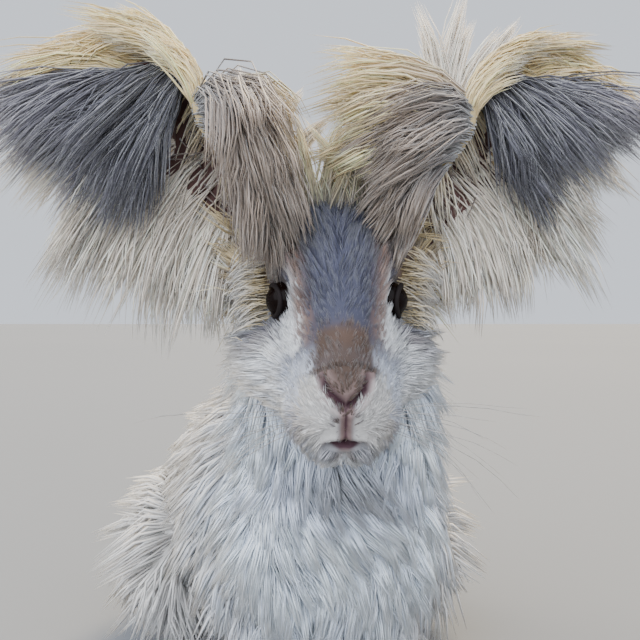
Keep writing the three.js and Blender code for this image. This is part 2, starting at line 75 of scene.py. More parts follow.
def thigh(s):
    return [[s * 60, 62, 58, 10, 10, 10], [s * 66, 72, 60, 26, 34, 34], [s * 68, 102, 64, 33, 50, 48],
            [s * 66, 136, 62, 33, 50, 50], [s * 60, 168, 54, 26, 36, 38], [s * 56, 180, 50, 8, 10, 10]]


def hindfoot(s):
    return [[s * 62, 158, 8, 6, 6, 6], [s * 62, 152, 10, 14, 14, 14], [s * 64, 116, 12, 16, 16, 16],
            [s * 65, 76, 10, 17, 15, 14], [s * 65, 46, 9, 16, 12, 12], [s * 65, 34, 7, 6, 5, 5]]


# The head's frame: forward and up place of each station, half width, reach up and reach down
HEAD = np.array([[-54, 2, 6, 6, 6], [-50, 0, 18, 16, 18], [-38, -4, 29, 27, 30], [-22, -8, 33, 34, 35],
                 [-4, -10, 31, 36, 36], [12, -12, 29, 35, 35], [28, -12, 26.5, 31, 32],
                 [42, -11, 22.5, 26.5, 28], [54, -9, 19, 20.5, 24], [63, -10, 15, 13.5, 17],
                 [68, -12, 10, 7, 9], [69.5, -13, 3, 2, 3]], float)
# Cheeks, brows, pads and eye sockets: forward, up, reach and how far out
SWELLINGS = [(20, -27, 15, 14), (-26, -5, 12, 8), (55, -8, 8.5, 4), (1, 0, 9, -7), (-3, 14, 8, 3),
             (24, 2, 12, -2.5)]

# The spine of an ear, and the leaf's section across it near the head and near its end
EAR_ARCH = np.array([[23, -50, 248], [31, -48, 284], [52, -46, 315], [74, -46, 329], [104, -50, 322]], float)
EAR_SIZE = {-1: 1.0, 1: 0.93}
EAR_ROLLED = np.array([[19, -22], [12, -25], [3, -20], [-3, -7], [3, 4], [22, 8], [46, 5]], float)
EAR_OPEN = np.array([[-9, -7], [-5, -3], [1, 0], [9, 1], [20, 1], [33, -1], [46, -5]], float)
EAR_SCALE = [0.5, 0.86, 1, 0.9, 0.3]

# Small helpers
def unit(v):
    return v / np.maximum(np.linalg.norm(v, axis=-1, keepdims=True), 1e-9)


def smooth(x, a, b):
    k = np.clip((np.asarray(x, float) - a) / (b - a), 0, 1)
    return k * k * (3 - 2 * k)


def bump(x, centre, width):
    return np.exp(-((np.asarray(x, float) - centre) / width) ** 2)


def mix(a, b, k):
    k = np.asarray(k)[..., None]
    return a * (1 - k) + b * k


def turn(p, centre, angle):
    c, s = math.cos(angle), math.sin(angle)
    q = p - centre
    return np.stack([q[..., 0] * c - q[..., 1] * s, q[..., 0] * s + q[..., 1] * c, q[..., 2]], -1) + centre


def knot_gap(a, b):
    return np.maximum(np.sum((a - b) ** 2, -1, keepdims=True) ** 0.25, 1e-4)


def curve(points, t):
    """A centripetal spline through the points, at t from 0 to 1."""
    pts = np.asarray(points, float)
    if pts.ndim == 1:
        pts = pts[:, None]
    n = len(pts)
    ext = np.vstack([2 * pts[0] - pts[1], pts, 2 * pts[-1] - pts[-2]])
    x = np.clip(np.asarray(t, float), 0, 1) * (n - 1)
    i = np.minimum(x.astype(int), n - 2)
    w = (x - i)[..., None]
    p0, p1, p2, p3 = ext[i], ext[i + 1], ext[i + 2], ext[i + 3]
    d0, d1, d2 = knot_gap(p0, p1), knot_gap(p1, p2), knot_gap(p2, p3)
    m1 = ((p1 - p0) / d0 - (p2 - p0) / (d0 + d1) + (p2 - p1) / d1) * d1
    m2 = ((p2 - p1) / d1 - (p3 - p1) / (d1 + d2) + (p3 - p2) / d2) * d1
    return p1 + m1 * w + (3 * (p2 - p1) - 2 * m1 - m2) * w ** 2 + (2 * (p1 - p2) + m1 + m2) * w ** 3


def tangent(points, t):
    return unit(curve(points, np.asarray(t) + 1e-3) - curve(points, np.asarray(t) - 1e-3))


def body_turn(p):
    return turn(p, np.array([0, BODY_PIVOT_Y, 0.0]), BODY_YAW)


def tube(stations, turned=True):
    st = np.array(stations, float)

    def at(u, t):
        c, along, size = curve(st[:, :3], t), tangent(st[:, :3], t), curve(st[:, 3:], t)
        side = unit(np.array([1.0, 0, 0]) - along * along[..., :1])
        near = np.cross(side, along)
        a = 2 * math.pi * np.asarray(u)
        sine = np.sin(a)
        reach = np.where(sine > 0, size[..., 1], size[..., 2]) * sine
        p = c + side * (size[..., 0] * np.cos(a))[..., None] + near * reach[..., None]
        return body_turn(p) if turned else p
    return at


FORWARD = np.array([0, -math.cos(HEAD_PITCH), -math.sin(HEAD_PITCH)])
UPWARD = np.array([0, -math.sin(HEAD_PITCH), math.cos(HEAD_PITCH)])


def in_head(side, forward, up):
    side, forward, up = np.broadcast_arrays(*(np.asarray(v, float) for v in (side, forward, up)))
    p = EYE + side[..., None] * np.array([1.0, 0, 0]) + forward[..., None] * FORWARD + up[..., None] * UPWARD
    return turn(p, EYE, HEAD_YAW)


def to_head(p):
    q = turn(np.asarray(p, float), EYE, -HEAD_YAW) - EYE
    return q[..., 0], q @ FORWARD, q @ UPWARD


def head_at(u, t):
    line = curve(HEAD[:, :2], t)
    size = curve(HEAD[:, 2:], t)
    a = 2 * math.pi * np.asarray(u)
    cosine, sine = np.cos(a), np.sin(a)
    side = size[..., 0] * cosine
    up = line[..., 1] + np.where(sine > 0, size[..., 1], size[..., 2]) * sine
    flank = np.abs(cosine) ** 0.6 * np.sign(cosine)
    for forward, height, reach, out in SWELLINGS:
        far = ((line[..., 0] - forward) ** 2 + (up - height) ** 2) / (2 * reach ** 2)
        side = side + out * np.exp(-far) * flank
    return in_head(side, line[..., 0], up)


def ear_at(sign):
    arch = (EAR_ARCH[0] + (EAR_ARCH - EAR_ARCH[0]) * EAR_SIZE[sign]) * np.array([sign, 1, 1])

    def at(w, s):
        w, s = np.broadcast_arrays(np.asarray(w, float), np.asarray(s, float))
        along = tangent(arch, s)
        sideways = unit(np.cross(np.array([0.0, 1, 0]), along)) * sign
        k = smooth(s, 0.4, 0.85)
        section = mix(curve(EAR_ROLLED, w), curve(EAR_OPEN, w), k) * curve(EAR_SCALE, s)
        return curve(arch, s) + sideways * section[..., :1] + section[..., 1:] * np.array([0, 1.0, 0])
    return at


def ear_normal(at, w, s, sign, step=0.02):
    across = at(np.clip(w + step, 0, 1), s) - at(np.clip(w - step, 0, 1), s)
    along = at(w, np.clip(s + step, 0, 1)) - at(w, np.clip(s - step, 0, 1))
    return unit(np.cross(across, along)) * sign


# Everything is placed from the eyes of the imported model.
eyes_mid = np.mean([np.mean(np.array(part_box(n)), axis=0) for n in ("eye_left", "eye_right")], axis=0)
SHIFT = eyes_mid - EYE * MM


def placed(p):
    return np.asarray(p, float) * MM + SHIFT


# Meshes


def mesh_of(name, verts, tris):
    mesh = bpy.data.meshes.new(name)
    verts, tris = np.asarray(verts, np.float32), np.asarray(tris, np.int32)
    mesh.vertices.add(len(verts))
    mesh.vertices.foreach_set("co", verts.ravel())
    mesh.loops.add(tris.size)
    mesh.loops.foreach_set("vertex_index", tris.ravel())
    mesh.polygons.add(len(tris))
    mesh.polygons.foreach_set("loop_start", np.arange(0, tris.size, 3, dtype=np.int32))
    mesh.polygons.foreach_set("use_smooth", np.full(len(tris), True))
    mesh.update(calc_edges=True)
    mesh.validate()
    return mesh


def add_object(name, mesh, material=None):
    obj = bpy.data.objects.new(name, mesh)
    bpy.context.scene.collection.objects.link(obj)
    if material:
        mesh.materials.append(material)
    return obj


def bands(steps, sides):
    """The triangles of `steps` bands between rings of points, each ring closed on itself."""
    tris = []
    for i in range(steps):
        for j in range(sides):
            a, b = i * sides + j, i * sides + (j + 1) % sides
            tris += [[a, b, b + sides], [a, b + sides, a + sides]]
    return tris


def caps(n, sides):
    """Fans from the points n and n + 1 to the first and the last ring."""
    tris = []
    for j in range(sides):
        k = (j + 1) % sides
        tris += [[n, k, j], [n + 1, n - sides + j, n - sides + k]]
    return tris


def grid_shell(at, sides, steps):
    """A closed loft: rings round it, with a fan at each end."""
    u, t = np.meshgrid(np.arange(sides) / sides, np.linspace(0, 1, steps + 1))
    p = at(u, t).reshape(-1, 3)
    tris = bands(steps, sides) + caps(len(p), sides)
    return np.vstack([p, p[:sides].mean(0), p[-sides:].mean(0)]), np.array(tris)


def leaf_shell(sign, thick, steps=44, columns=40):
    """The skin of an ear: its leaf given a thickness and closed at both ends."""
    at = ear_at(sign)
    w, s = np.meshgrid(np.linspace(0, 1, columns + 1), np.linspace(0, 1, steps + 1))
    p, n = at(w, s), ear_normal(at, w, s, sign)
    edge = np.where((w < 1e-6) | (w > 1 - 1e-6), 0.45, 1.0)[..., None]
    ring = np.concatenate([p + n * thick / 2 * edge, (p - n * thick / 2 * edge)[:, ::-1]], axis=1)
    m = ring.shape[1]
    tris = bands(steps, m)
    for j in range(m // 2 - 1):
        for base, flip in ((0, False), (steps * m, True)):
            a, b, c, d = base + j, base + j + 1, base + m - 2 - j, base + m - 1 - j
            faces = [[a, c, b], [a, d, c]]
            tris += [f[::-1] for f in faces] if flip else faces
    return ring.reshape(-1, 3), np.array(tris)


SURFACES = {
    "head": (head_at, 96, 90), "neck": (tube(NECK, False), 72, 60), "torso": (tube(TORSO), 96, 90),
    "tail": (tube(TAIL), 40, 30),
    "foreleg_left": (tube(foreleg(-1)), 40, 40), "foreleg_right": (tube(foreleg(1)), 40, 40),
    "thigh_left": (tube(thigh(-1)), 48, 40), "thigh_right": (tube(thigh(1)), 48, 40),
    "hindfoot_left": (tube(hindfoot(-1)), 40, 40), "hindfoot_right": (tube(hindfoot(1)), 40, 40),
}
REGIONS = list(SURFACES)


def outward(p, tris):
    v = p[tris]
    volume = np.sum(np.einsum("ij,ij->i", v[:, 0], np.cross(v[:, 1], v[:, 2])))
    return tris if volume > 0 else tris[:, ::-1]


# The skin
SKIN_VOXEL = 1.7
SKIN_LOWEST = 0.3
EAR_THICK = 4.2
# The ears' skin lies above and behind these, and off every other part
EAR_LOWEST, EAR_FOREMOST, OFF_THE_REST = 240, -80, 3.5
# The UV map has a tile for each part of the body, with a margin round it
TILES, TILE_MARGIN = 4, 0.03


def tree_of(points):
    tree = kdtree.KDTree(len(points))
    for i, p in enumerate(points):
        tree.insert(p, i)
    tree.balance()
    return tree


def nearest(tree, points):
    return np.array([tree.find(p)[1] for p in points])


def vertex_data(mesh, field):
    data = np.empty(len(mesh.vertices) * 3, np.float32)
    mesh.vertices.foreach_get(field, data)
    return data.reshape(-1, 3).astype(float)


def eye_distance(p):
    return np.minimum(*(np.linalg.norm(p - in_head(s * EYE_HALF_SPAN, 0, 0), axis=-1) for s in (-1, 1)))


parts, faces, count = [], [], 0
probe_at, probe_region, probe_uv = [], [], []
for index, name in enumerate(REGIONS):
    at, sides, steps = SURFACES[name]
    p, tris = grid_shell(at, sides, steps)
    parts.append(p)
    faces.append(outward(p, tris) + count)
    count += len(p)
    u, t = np.meshgrid(np.arange(sides) / sides, np.linspace(0, 1, steps + 1))
    probe_at.append(p[:-2])
    probe_region.append(np.full(u.size, index))
    probe_uv.append(np.stack([u.ravel(), t.ravel()], -1))
for sign in (-1, 1):
    p, tris = leaf_shell(sign, EAR_THICK)
    parts.append(p)
    faces.append(outward(p, tris) + count)
    count += len(p)
probe_at, probe_region, probe_uv = map(np.concatenate, (probe_at, probe_region, probe_uv))

raw = add_object("skin_raw", mesh_of("skin_raw", np.vstack(parts) * MM, np.vstack(faces)))
remesh = raw.modifiers.new("remesh", "REMESH")
remesh.mode = "VOXEL"
remesh.voxel_size = SKIN_VOXEL * MM
even = raw.modifiers.new("even", "SMOOTH")
even.factor = 0.5
even.iterations = 4
depsgraph = bpy.context.evaluated_depsgraph_get()
skin_mesh = bpy.data.meshes.new_from_object(raw.evaluated_get(depsgraph))
bpy.data.objects.remove(raw)

# The face gets twice the detail.
bm = bmesh.new()
bm.from_mesh(skin_mesh)
co = np.array([v.co[:] for v in bm.verts]) / MM
side, forward, up = to_head(co)
muzzle = (np.abs(side) < 26) & (forward > 40) & (up > -24) & (up < 20)
fine = muzzle | (eye_distance(co) < 17)
bm.verts.ensure_lookup_table()
edges = [e for e in bm.edges if fine[e.verts[0].index] and fine[e.verts[1].index]]
bmesh.ops.subdivide_edges(bm, edges=edges, cuts=1, use_grid_fill=True, smooth=0.6)
bmesh.ops.triangulate(bm, faces=bm.faces[:])
bm.to_mesh(skin_mesh)
bm.free()

skin_co = vertex_data(skin_mesh, "co") / MM
skin_no = vertex_data(skin_mesh, "normal")
probe = nearest(tree_of(probe_at), skin_co)
skin_region = probe_region[probe]
on_head = skin_region == 0
side, forward, up = to_head(skin_co)
off_the_rest = np.linalg.norm(skin_co - probe_at[probe], axis=1) > OFF_THE_REST
ear_skin = (skin_co[:, 2] > EAR_LOWEST) & (skin_co[:, 1] > EAR_FOREMOST) & off_the_rest

# How deep the skin lies in the coat
DEPTH = {"head": 2.4, "neck": 4.0, "torso": 4.0, "tail": 3.0}
depth = np.array([DEPTH.get(n, 2.6) for n in REGIONS])[skin_region]
depth = np.where(on_head & (forward > 45), 1.4, depth)
depth = np.where(ear_skin, 0.0, depth)


# Features of the muzzle in the head's frame, as places (side, up) seen from in front
NOSTRIL = {"in": 1.2, "out": 8.6, "low": 7.2, "high": 10.2}
MOUTH = {"up": -6.5, "half": 7.0, "open": 2.0}


def nostril_line(side, up):
    """Distance in millimetres to the slit of the nearer nostril, seen from in front."""
    a = np.array([NOSTRIL["in"], NOSTRIL["low"]])
    b = np.array([NOSTRIL["out"], NOSTRIL["high"]])
    q = np.stack([np.abs(side), up], -1) - a
    k = np.clip(q @ (b - a) / ((b - a) @ (b - a)), 0, 1)
    return np.linalg.norm(q - k[..., None] * (b - a), axis=-1)


def mouth_line(side, up):
    centre = MOUTH["up"] - 1.2 * (side / MOUTH["half"]) ** 2
    over = np.maximum(np.abs(side) - MOUTH["half"], 0)
    return np.hypot(up - centre, over)


def cleft_line(side, up):
    low, high = MOUTH["up"], NOSTRIL["low"] - 1
    over = np.maximum(np.maximum(low - up, up - high), 0)
    return np.hypot(side, over)


front = on_head & (forward > 46)
near_nostril = nostril_line(side, up)
move = -depth
move -= np.where(front, 2.6 * bump(near_nostril, 0, 1.5), 0)
move += np.where(front, 1.1 * bump(near_nostril, 2.8, 1.3), 0)
move -= np.where(front, 2.2 * bump(mouth_line(side, up), 0, 1.3), 0)
move += np.where(front, 1.0 * bump(mouth_line(side, up), 3.0, 1.6), 0)
move -= np.where(front, 1.5 * bump(cleft_line(side, up), 0, 1.0), 0)
skin_co += skin_no * move[:, None]
# The skin stays behind the eyeballs.
for s in (-1, 1):
    centre = in_head(s * EYE_HALF_SPAN, 0, 0)
    q = skin_co - centre
    far = np.linalg.norm(q, axis=1)
    look = unit(in_head(s, 0.22, 0.1) - in_head(0, 0, 0))
    ahead = q @ look
    radial = np.linalg.norm(q - ahead[:, None] * look, axis=1)
    opening = (radial < EYE_RADIUS * 0.9) & (ahead > -2) & (far < 20)
    skin_co[opening] -= look * (np.maximum(ahead[opening] + 1.0, 0))[:, None]
skin_co[:, 2] = np.maximum(skin_co[:, 2], SKIN_LOWEST)
skin_mesh.vertices.foreach_set("co", placed(skin_co).astype(np.float32).ravel())
skin_mesh.update()
skin_mesh.polygons.foreach_set("use_smooth", np.full(len(skin_mesh.polygons), True))
skin = add_object("skin", skin_mesh)

# Markings, with painted shade, a painted highlight and painted cool light among them

SLATE = np.array([0.092, 0.09, 0.118])
SLATE_LIGHT = np.array([0.19, 0.19, 0.24])
LILAC = np.array([0.44, 0.41, 0.47])
WHITE = np.array([0.86, 0.87, 0.90])
CREAM = np.array([0.97, 0.75, 0.38])
TAN = np.array([0.086, 0.050, 0.035])
FOREHEAD = np.array([0.072, 0.076, 0.125])
# A dark tone for the arch across the nose bridge, the skin round the eyes, and the painted shade below the
# eyes
DARK_MARK_AND_SHADE = np.array([0.09, 0.07, 0.07])
GREY = np.array([0.29, 0.275, 0.28])
PINK = np.array([0.42, 0.30, 0.29])
PLUM = np.array([0.05, 0.016, 0.026])
# Bluish white: the cool front light is painted into the chest's white coat
CHEST = np.array([0.78, 0.85, 0.98])
HOLLOW = np.array([0.095, 0.043, 0.037])


def face_colour(side, forward, up):
    """The coat's colour over the head, with painted shade below the eyes, at the muzzle's sides and under the
    jaw, a painted highlight on the nose bridge and painted cool light on the jowls. The face is seen from in
    front as side and forward.
    """
    a = np.abs(side)
    high = smooth(up, -14, 0)
    colour = mix(FOREHEAD[None], FOREHEAD[None] * 0.65, 0.6 * bump(a, 11, 5) * smooth(forward, -30, 5))
    colour = mix(colour, FOREHEAD[None] * 1.25, 0.5 * bump(a, 3, 4) * bump(forward, -6, 16))
    colour = mix(colour, GREY[None] * 1.1, 0.6 * (1 - smooth(forward, -44, -30)))
    # The jowls take the chest's bluish white, its painted cool light, a little darker
    jowl = smooth(forward, 30, 42) * smooth(a, 9, 14)
    colour = mix(colour, CHEST[None] * np.array([0.72, 0.7, 0.7]), jowl)
    stripe = bump(a, 16.8, 3.6) * smooth(forward, -22, -10) * (1 - smooth(forward, 26, 36)) * high
    colour = mix(colour, TAN[None] * 2.9, 0.9 * stripe)
    crescent = bump(a, 20.6, 2.6) * smooth(forward, -2, 7) * (1 - smooth(forward, 28, 36)) * high
    colour = mix(colour, WHITE[None], np.clip(1.3 * crescent, 0, 1))
    edge = np.interp(forward, [26, 33, 46, 60], [8.5, 11.5, 13, 2.5])
    bridge = smooth(forward, 26, 31) * (1 - smooth(a - edge, -1.5, 2.5))
    colour = mix(colour, TAN[None], bridge)
    # Painted highlight: the middle of the tan bridge, where the light catches the nose, is made lighter
    colour = mix(colour, TAN[None] * 1.7, 0.55 * bump(a, 0, 8) * bump(forward, 32, 5))
    arch = bump(forward, 40 + 5.5 * (a / 14) ** 2, 3.2) * (1 - smooth(a, 13, 17))
    colour = mix(colour, DARK_MARK_AND_SHADE[None] * 1.3, (0.3 + 0.5 * bump(a, 9.5, 4)) * arch)
    pad = smooth(a - edge, -1, 2) * (1 - smooth(a, 15, 20)) * smooth(forward, 44, 50) * smooth(up, -12, -4)
    colour = mix(colour, WHITE[None] * np.array([0.68, 0.65, 0.61]), np.clip(1.1 * pad, 0, 1))
    cheek = smooth(a, 20, 24.5) * smooth(forward, 10, 24)
    low = 1 - smooth(up, -15, -7)
    colour = mix(colour, WHITE[None] * 0.97, np.clip(np.maximum(cheek, low), 0, 1))
    # Painted shade: a tan band down the outer edge of each pad, where the muzzle turns away
    colour = mix(colour, TAN[None] * 3.4, 0.65 * bump(a, 15.5, 3.5) * bump(forward, 55, 7) * bump(up, -9, 6))
    # Painted shade: grey over the underside of the jaw
    colour = mix(colour, GREY[None] * 0.9, 0.55 * smooth(forward, 40, 52) * (1 - smooth(up, -27, -21)))
    # Painted shade on the cheek below each eye
    shade_under_eye = bump(forward, 17, 5) * bump(a, 28, 5) * bump(up, -8, 9)
    colour = mix(colour, DARK_MARK_AND_SHADE[None] * 2.5, 0.6 * shade_under_eye)
    temple = smooth(a, 26, 33) * (1 - smooth(forward, -14, -2))
    colour = mix(colour, CREAM[None] * 0.9, 0.75 * temple)
    return mix(colour, TAN[None] * 2.2, 0.8 * bump(a, 29, 4) * bump(forward, -11, 6) * high)


def body_colour(p):
    """The rest of the coat: bluish white in front from painted cool light, a little creamier and greyer along
    the back.
    """
    back = smooth(p[:, 1], -60, 20)
    colour = mix(CHEST[None], np.array([0.82, 0.80, 0.78])[None], back)
    saddle = smooth(p[:, 2], 130, 190) * smooth(p[:, 1], -30, 20)
    colour = mix(colour, np.array([0.62, 0.60, 0.62])[None], 0.5 * saddle)
    # Painted shade: a grey band on the neck just under the chin
    chin = bump(p[:, 0], 2, 20) * bump(p[:, 2], 147, 11) * smooth(-p[:, 1], 30, 60)
    colour = mix(colour, GREY[None] * 0.6, 0.8 * chin)
    return mix(colour, GREY[None], 0.35 * (1 - smooth(p[:, 2], 8, 26)))


def inside_ear(p, normal):
    """True where a point lies on the hollow side of an ear's leaf."""
    w, s = np.meshgrid(np.linspace(0, 1, 30), np.linspace(0, 0.99, 30))
    at = np.concatenate([ear_at(sign)(w, s).reshape(-1, 3) for sign in (-1, 1)])
    facing = np.concatenate([ear_normal(ear_at(sign), w, s, sign).reshape(-1, 3) for sign in (-1, 1)])
    inner = np.zeros(len(p), bool)
    inner[ear_skin] = np.sum(facing[nearest(tree_of(at), p[ear_skin])] * normal[ear_skin], -1) > 0
    return inner


skin_colour = body_colour(skin_co) * 0.8
skin_colour[on_head] = face_colour(side[on_head], forward[on_head], up[on_head]) * 0.75
skin_colour[ear_skin] = CREAM * 0.6
skin_colour[ear_skin & inside_ear(skin_co, skin_no)] = HOLLOW
mouth_out = np.hypot(side / (MOUTH["half"] + 0.6), (up - MOUTH["up"]) / MOUTH["open"])
dark = np.maximum.reduce([
    bump(near_nostril, 0, 1.7), 1 - smooth(mouth_out, 0.75, 1.3), 0.8 * bump(cleft_line(side, up), 0, 0.9),
])
rosy = 0.7 * bump(near_nostril, 0, 3.2) + 0.5 * bump(cleft_line(side, up), 0, 2.2)
skin_colour = mix(skin_colour, PINK[None], np.where(front, np.clip(rosy, 0, 0.8), 0))
skin_colour = mix(skin_colour, PLUM[None], np.where(front, np.clip(dark * 1.2, 0, 1), 0))
lid_zone = smooth(eye_distance(skin_co), EYE_RADIUS + 4.5, EYE_RADIUS + 1.5)
skin_colour = mix(skin_colour, DARK_MARK_AND_SHADE[None] * 0.6, np.clip(lid_zone, 0, 1))


def set_colour(mesh, colour):
    """The marking colours, painted light and shade among them, as a colour on each vertex."""
    layer = mesh.attributes.new("Coat", "FLOAT_COLOR", "POINT")
    rgba = np.concatenate([np.clip(colour, 0, 1), np.ones((len(colour), 1))], axis=1)
    layer.data.foreach_set("color", rgba.astype(np.float32).ravel())


set_colour(skin_mesh, skin_colour)


def map_places(index):
    """Where the skin's vertices in `index` lie on the UV map."""
    region = skin_region[index]
    tiles = np.stack([region % TILES, region // TILES], -1)
    return (tiles + TILE_MARGIN + (1 - 2 * TILE_MARGIN) * probe_uv[probe[index]]) / TILES


layer = skin_mesh.uv_layers.new(name="OFBake")
loops = np.empty(len(skin_mesh.loops), np.int32)
skin_mesh.loops.foreach_get("vertex_index", loops)
layer.data.foreach_set("uv", map_places(loops).astype(np.float32).ravel())

# Materials


def new_material(name):
    material = bpy.data.materials.new(name)
    material.use_nodes = True
    nodes, links = material.node_tree.nodes, material.node_tree.links
    return material, nodes, links, nodes["Principled BSDF"]


def coat_material(name, roughness, sheen, noise_scale, shade):
    """The marking colours, painted light and shade among them, with fine streaks of lighter and darker hair
    over them.
    """
    material, nodes, links, shader = new_material(name)
    colour = nodes.new("ShaderNodeVertexColor")
    colour.layer_name = "Coat"
    place = nodes.new("ShaderNodeTexCoord")
    noise = nodes.new("ShaderNodeTexNoise")
    noise.inputs["Scale"].default_value = noise_scale
    noise.inputs["Detail"].default_value = 3
    ramp = nodes.new("ShaderNodeMapRange")
    ramp.inputs["To Min"].default_value = 1 - shade
    ramp.inputs["To Max"].default_value = 1 + shade * 0.6
    scale = nodes.new("ShaderNodeVectorMath")
    scale.operation = "SCALE"
    links.new(place.outputs["Object"], noise.inputs["Vector"])
    links.new(noise.outputs["Fac"], ramp.inputs["Value"])
    links.new(colour.outputs["Color"], scale.inputs[0])
    links.new(ramp.outputs["Result"], scale.inputs["Scale"])
    links.new(scale.outputs["Vector"], shader.inputs["Base Color"])
    shader.inputs["Roughness"].default_value = roughness
    shader.inputs["Sheen Weight"].default_value = sheen
    shader.inputs["Sheen Roughness"].default_value = 0.5
    shader.inputs["Specular IOR Level"].default_value = 0.28
    return material, nodes, links, shader


def mottled(name, scale, dark, light, roughness, space=None):
    """A material whose colour wanders between two tones."""
    material, nodes, links, shader = new_material(name)
    noise = nodes.new("ShaderNodeTexNoise")
    noise.inputs["Scale"].default_value = scale
    if space:
        links.new(nodes.new("ShaderNodeTexCoord").outputs[space], noise.inputs["Vector"])
    ramp = nodes.new("ShaderNodeValToRGB")
    ramp.color_ramp.elements[0].color = (*dark, 1)
    ramp.color_ramp.elements[1].color = (*light, 1)
    links.new(noise.outputs["Fac"], ramp.inputs["Fac"])
    links.new(ramp.outputs["Color"], shader.inputs["Base Color"])
    shader.inputs["Roughness"].default_value = roughness
    return material, shader


COAT = coat_material("long_coat", 0.62, 0.5, 260, 0.14)[0]
EAR_HAIR = coat_material("ear_hair", 0.5, 0.8, 320, 0.2)[0]
FACE_HAIR = coat_material("face_hair", 0.6, 0.2, 420, 0.2)[0]
SKIN, nodes, links, shader = coat_material("skin", 0.55, 0.1, 500, 0.2)
pores = nodes.new("ShaderNodeTexNoise")
pores.inputs["Scale"].default_value = 900
dent = nodes.new("ShaderNodeBump")
dent.inputs["Strength"].default_value = 0.35
dent.inputs["Distance"].default_value = 0.0006
links.new(pores.outputs["Fac"], dent.inputs["Height"])
links.new(dent.outputs["Normal"], shader.inputs["Normal"])
skin_mesh.materials.clear()
skin_mesh.materials.append(SKIN)

# Strands of hair
MOST_TRIANGLES = 190000
# Each hair: its height over its width, its width at the root, how much it tapers to the tip, how much its way
# wanders, and how low it may reach
HAIR_FLAT, ROOT_WIDTH, TIP_TAPER, WANDER, HAIR_LOWEST = 0.55, 0.72, 0.62, 0.05, 0.6
# How far apart hairs of different kinds are set while tufts are looked up
KINDS_APART = np.array([1000.0, 0, 0])
HAIRS = {"head": 32000, "chest": 30000, "body": 18000, "tail": 2500, "legs": 9000}


def strands(name, roots, start, end, length, width, colours, uv, material, rings=2,
            droop=0.0, clump=None, sway=0.05, shade=0.06, kind=0.0, tuft=None, seed=1):
    """Closed tapered hairs. Each leaves its root along `start` and turns towards `end` on the way out.

    `clump` is how many hairs share a tuft and how strongly its leading hair draws them. `sway` and `shade`
    vary the lie and the tone of each tuft. Hairs of different `kind` share no tuft. `tuft`, where given, is
    the number of each hair's tuft.
    """
    rng = np.random.default_rng(seed)
    n, k = len(roots), rings + 2
    share = np.linspace(0, 1, k)
    points = np.empty((n, k, 3))
    points[:, 0] = roots
    for j in range(1, k):
        bend = ((j - 0.5) / (k - 1)) ** 0.9
        way = unit(start * (1 - bend) + end * bend + np.array([0, 0, -droop]) * bend)
        way = unit(way + rng.normal(0, WANDER, (n, 3)))
        points[:, j] = points[:, j - 1] + way * (length / (k - 1))[:, None]
    root_colour, tip_colour = colours
    if clump is not None:
        spacing, pull = clump
        if tuft is None:
            apart = roots + KINDS_APART * np.reshape(kind, (-1, 1))
            heads = rng.permutation(n)[: max(2, int(n / spacing))]
            tuft = nearest(tree_of(apart[heads]), apart)
        else:
            heads = np.unique(tuft, return_index=True)[1]
        head = heads[tuft]
        weight = (pull * share ** 1.1)[None, :, None]
        lead = points[head]
        reach = (length / length[head])[:, None, None]
        lead = lead[:, :1] + (lead - lead[:, :1]) * reach
        points = points * (1 - weight) + lead * weight
        push = sway * rng.normal(0, 1, (len(heads), 3))[tuft] * length[:, None]
        points = points + push[:, None] * (share ** 1.5)[None, :, None]
        tint = 1 + shade * rng.normal(0, 1, len(heads))[tuft][:, None]
        root_colour, tip_colour = root_colour * tint, np.clip(tip_colour * tint, 0, 1)
    points[:, :, 2] = np.maximum(points[:, :, 2], HAIR_LOWEST)
    along = unit(points[:, -1] - points[:, 0])
    aside = unit(np.cross(along, unit(rng.normal(0, 1, (n, 3)) + np.array([0, -0.6, 0]))))
    over = np.cross(aside, along)
    taper = 1 - share[:-1] ** 1.6 * TIP_TAPER
    taper[0] = ROOT_WIDTH
    verts = np.empty((n, (k - 1) * 3 + 1, 3))
    for j in range(k - 1):
        half = width * taper[j] / 2
        verts[:, 3 * j] = points[:, j] - aside * half[:, None]
        verts[:, 3 * j + 1] = points[:, j] + aside * half[:, None]
        verts[:, 3 * j + 2] = points[:, j] + over * (2 * half * HAIR_FLAT)[:, None]
    verts[:, -1] = points[:, -1]
    faces = [[0, 2, 1]]
    for j in range(k - 2):
        a = 3 * j
        for p, q in ((0, 1), (1, 2), (2, 0)):
            faces += [[a + p, a + q, a + 3 + q], [a + p, a + 3 + q, a + 3 + p]]
    a, tip = 3 * (k - 2), 3 * (k - 1)
    faces += [[a, a + 1, tip], [a + 1, a + 2, tip], [a + 2, a, tip]]
    faces = np.array(faces)
    per = verts.shape[1]
    k_at = np.concatenate([np.repeat(share[:-1], 3), [1.0]])
    tone = root_colour[:, None] * (1 - k_at[None, :, None]) + tip_colour[:, None] * k_at[None, :, None]
    patch = np.zeros((per, 2))
    patch[:, 0] = [(i % 3 - 1) * 0.0013 * (1 if i < per - 1 else 0) for i in range(per)]
    patch[:, 1] = (k_at - 0.5) * 0.003
    groups = np.array_split(np.argsort(roots[:, 0]), math.ceil(n * len(faces) / MOST_TRIANGLES))
    for number, group in enumerate(groups, 1):
        title = f"{name}_{number}" if len(groups) > 1 else name
        tris = (faces[None] + (np.arange(len(group)) * per)[:, None, None]).reshape(-1, 3)
        mesh = mesh_of(title, placed(verts[group].reshape(-1, 3)), tris)
        set_colour(mesh, tone[group].reshape(-1, 3))
        layer = mesh.uv_layers.new(name="OFBake")
        uv_all = np.clip(uv[group][:, None] + patch[None], 0, 1)[:, faces.ravel()]
        layer.data.foreach_set("uv", uv_all.astype(np.float32).ravel())
        piece = add_object(title, mesh, material)
        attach(piece, "root")


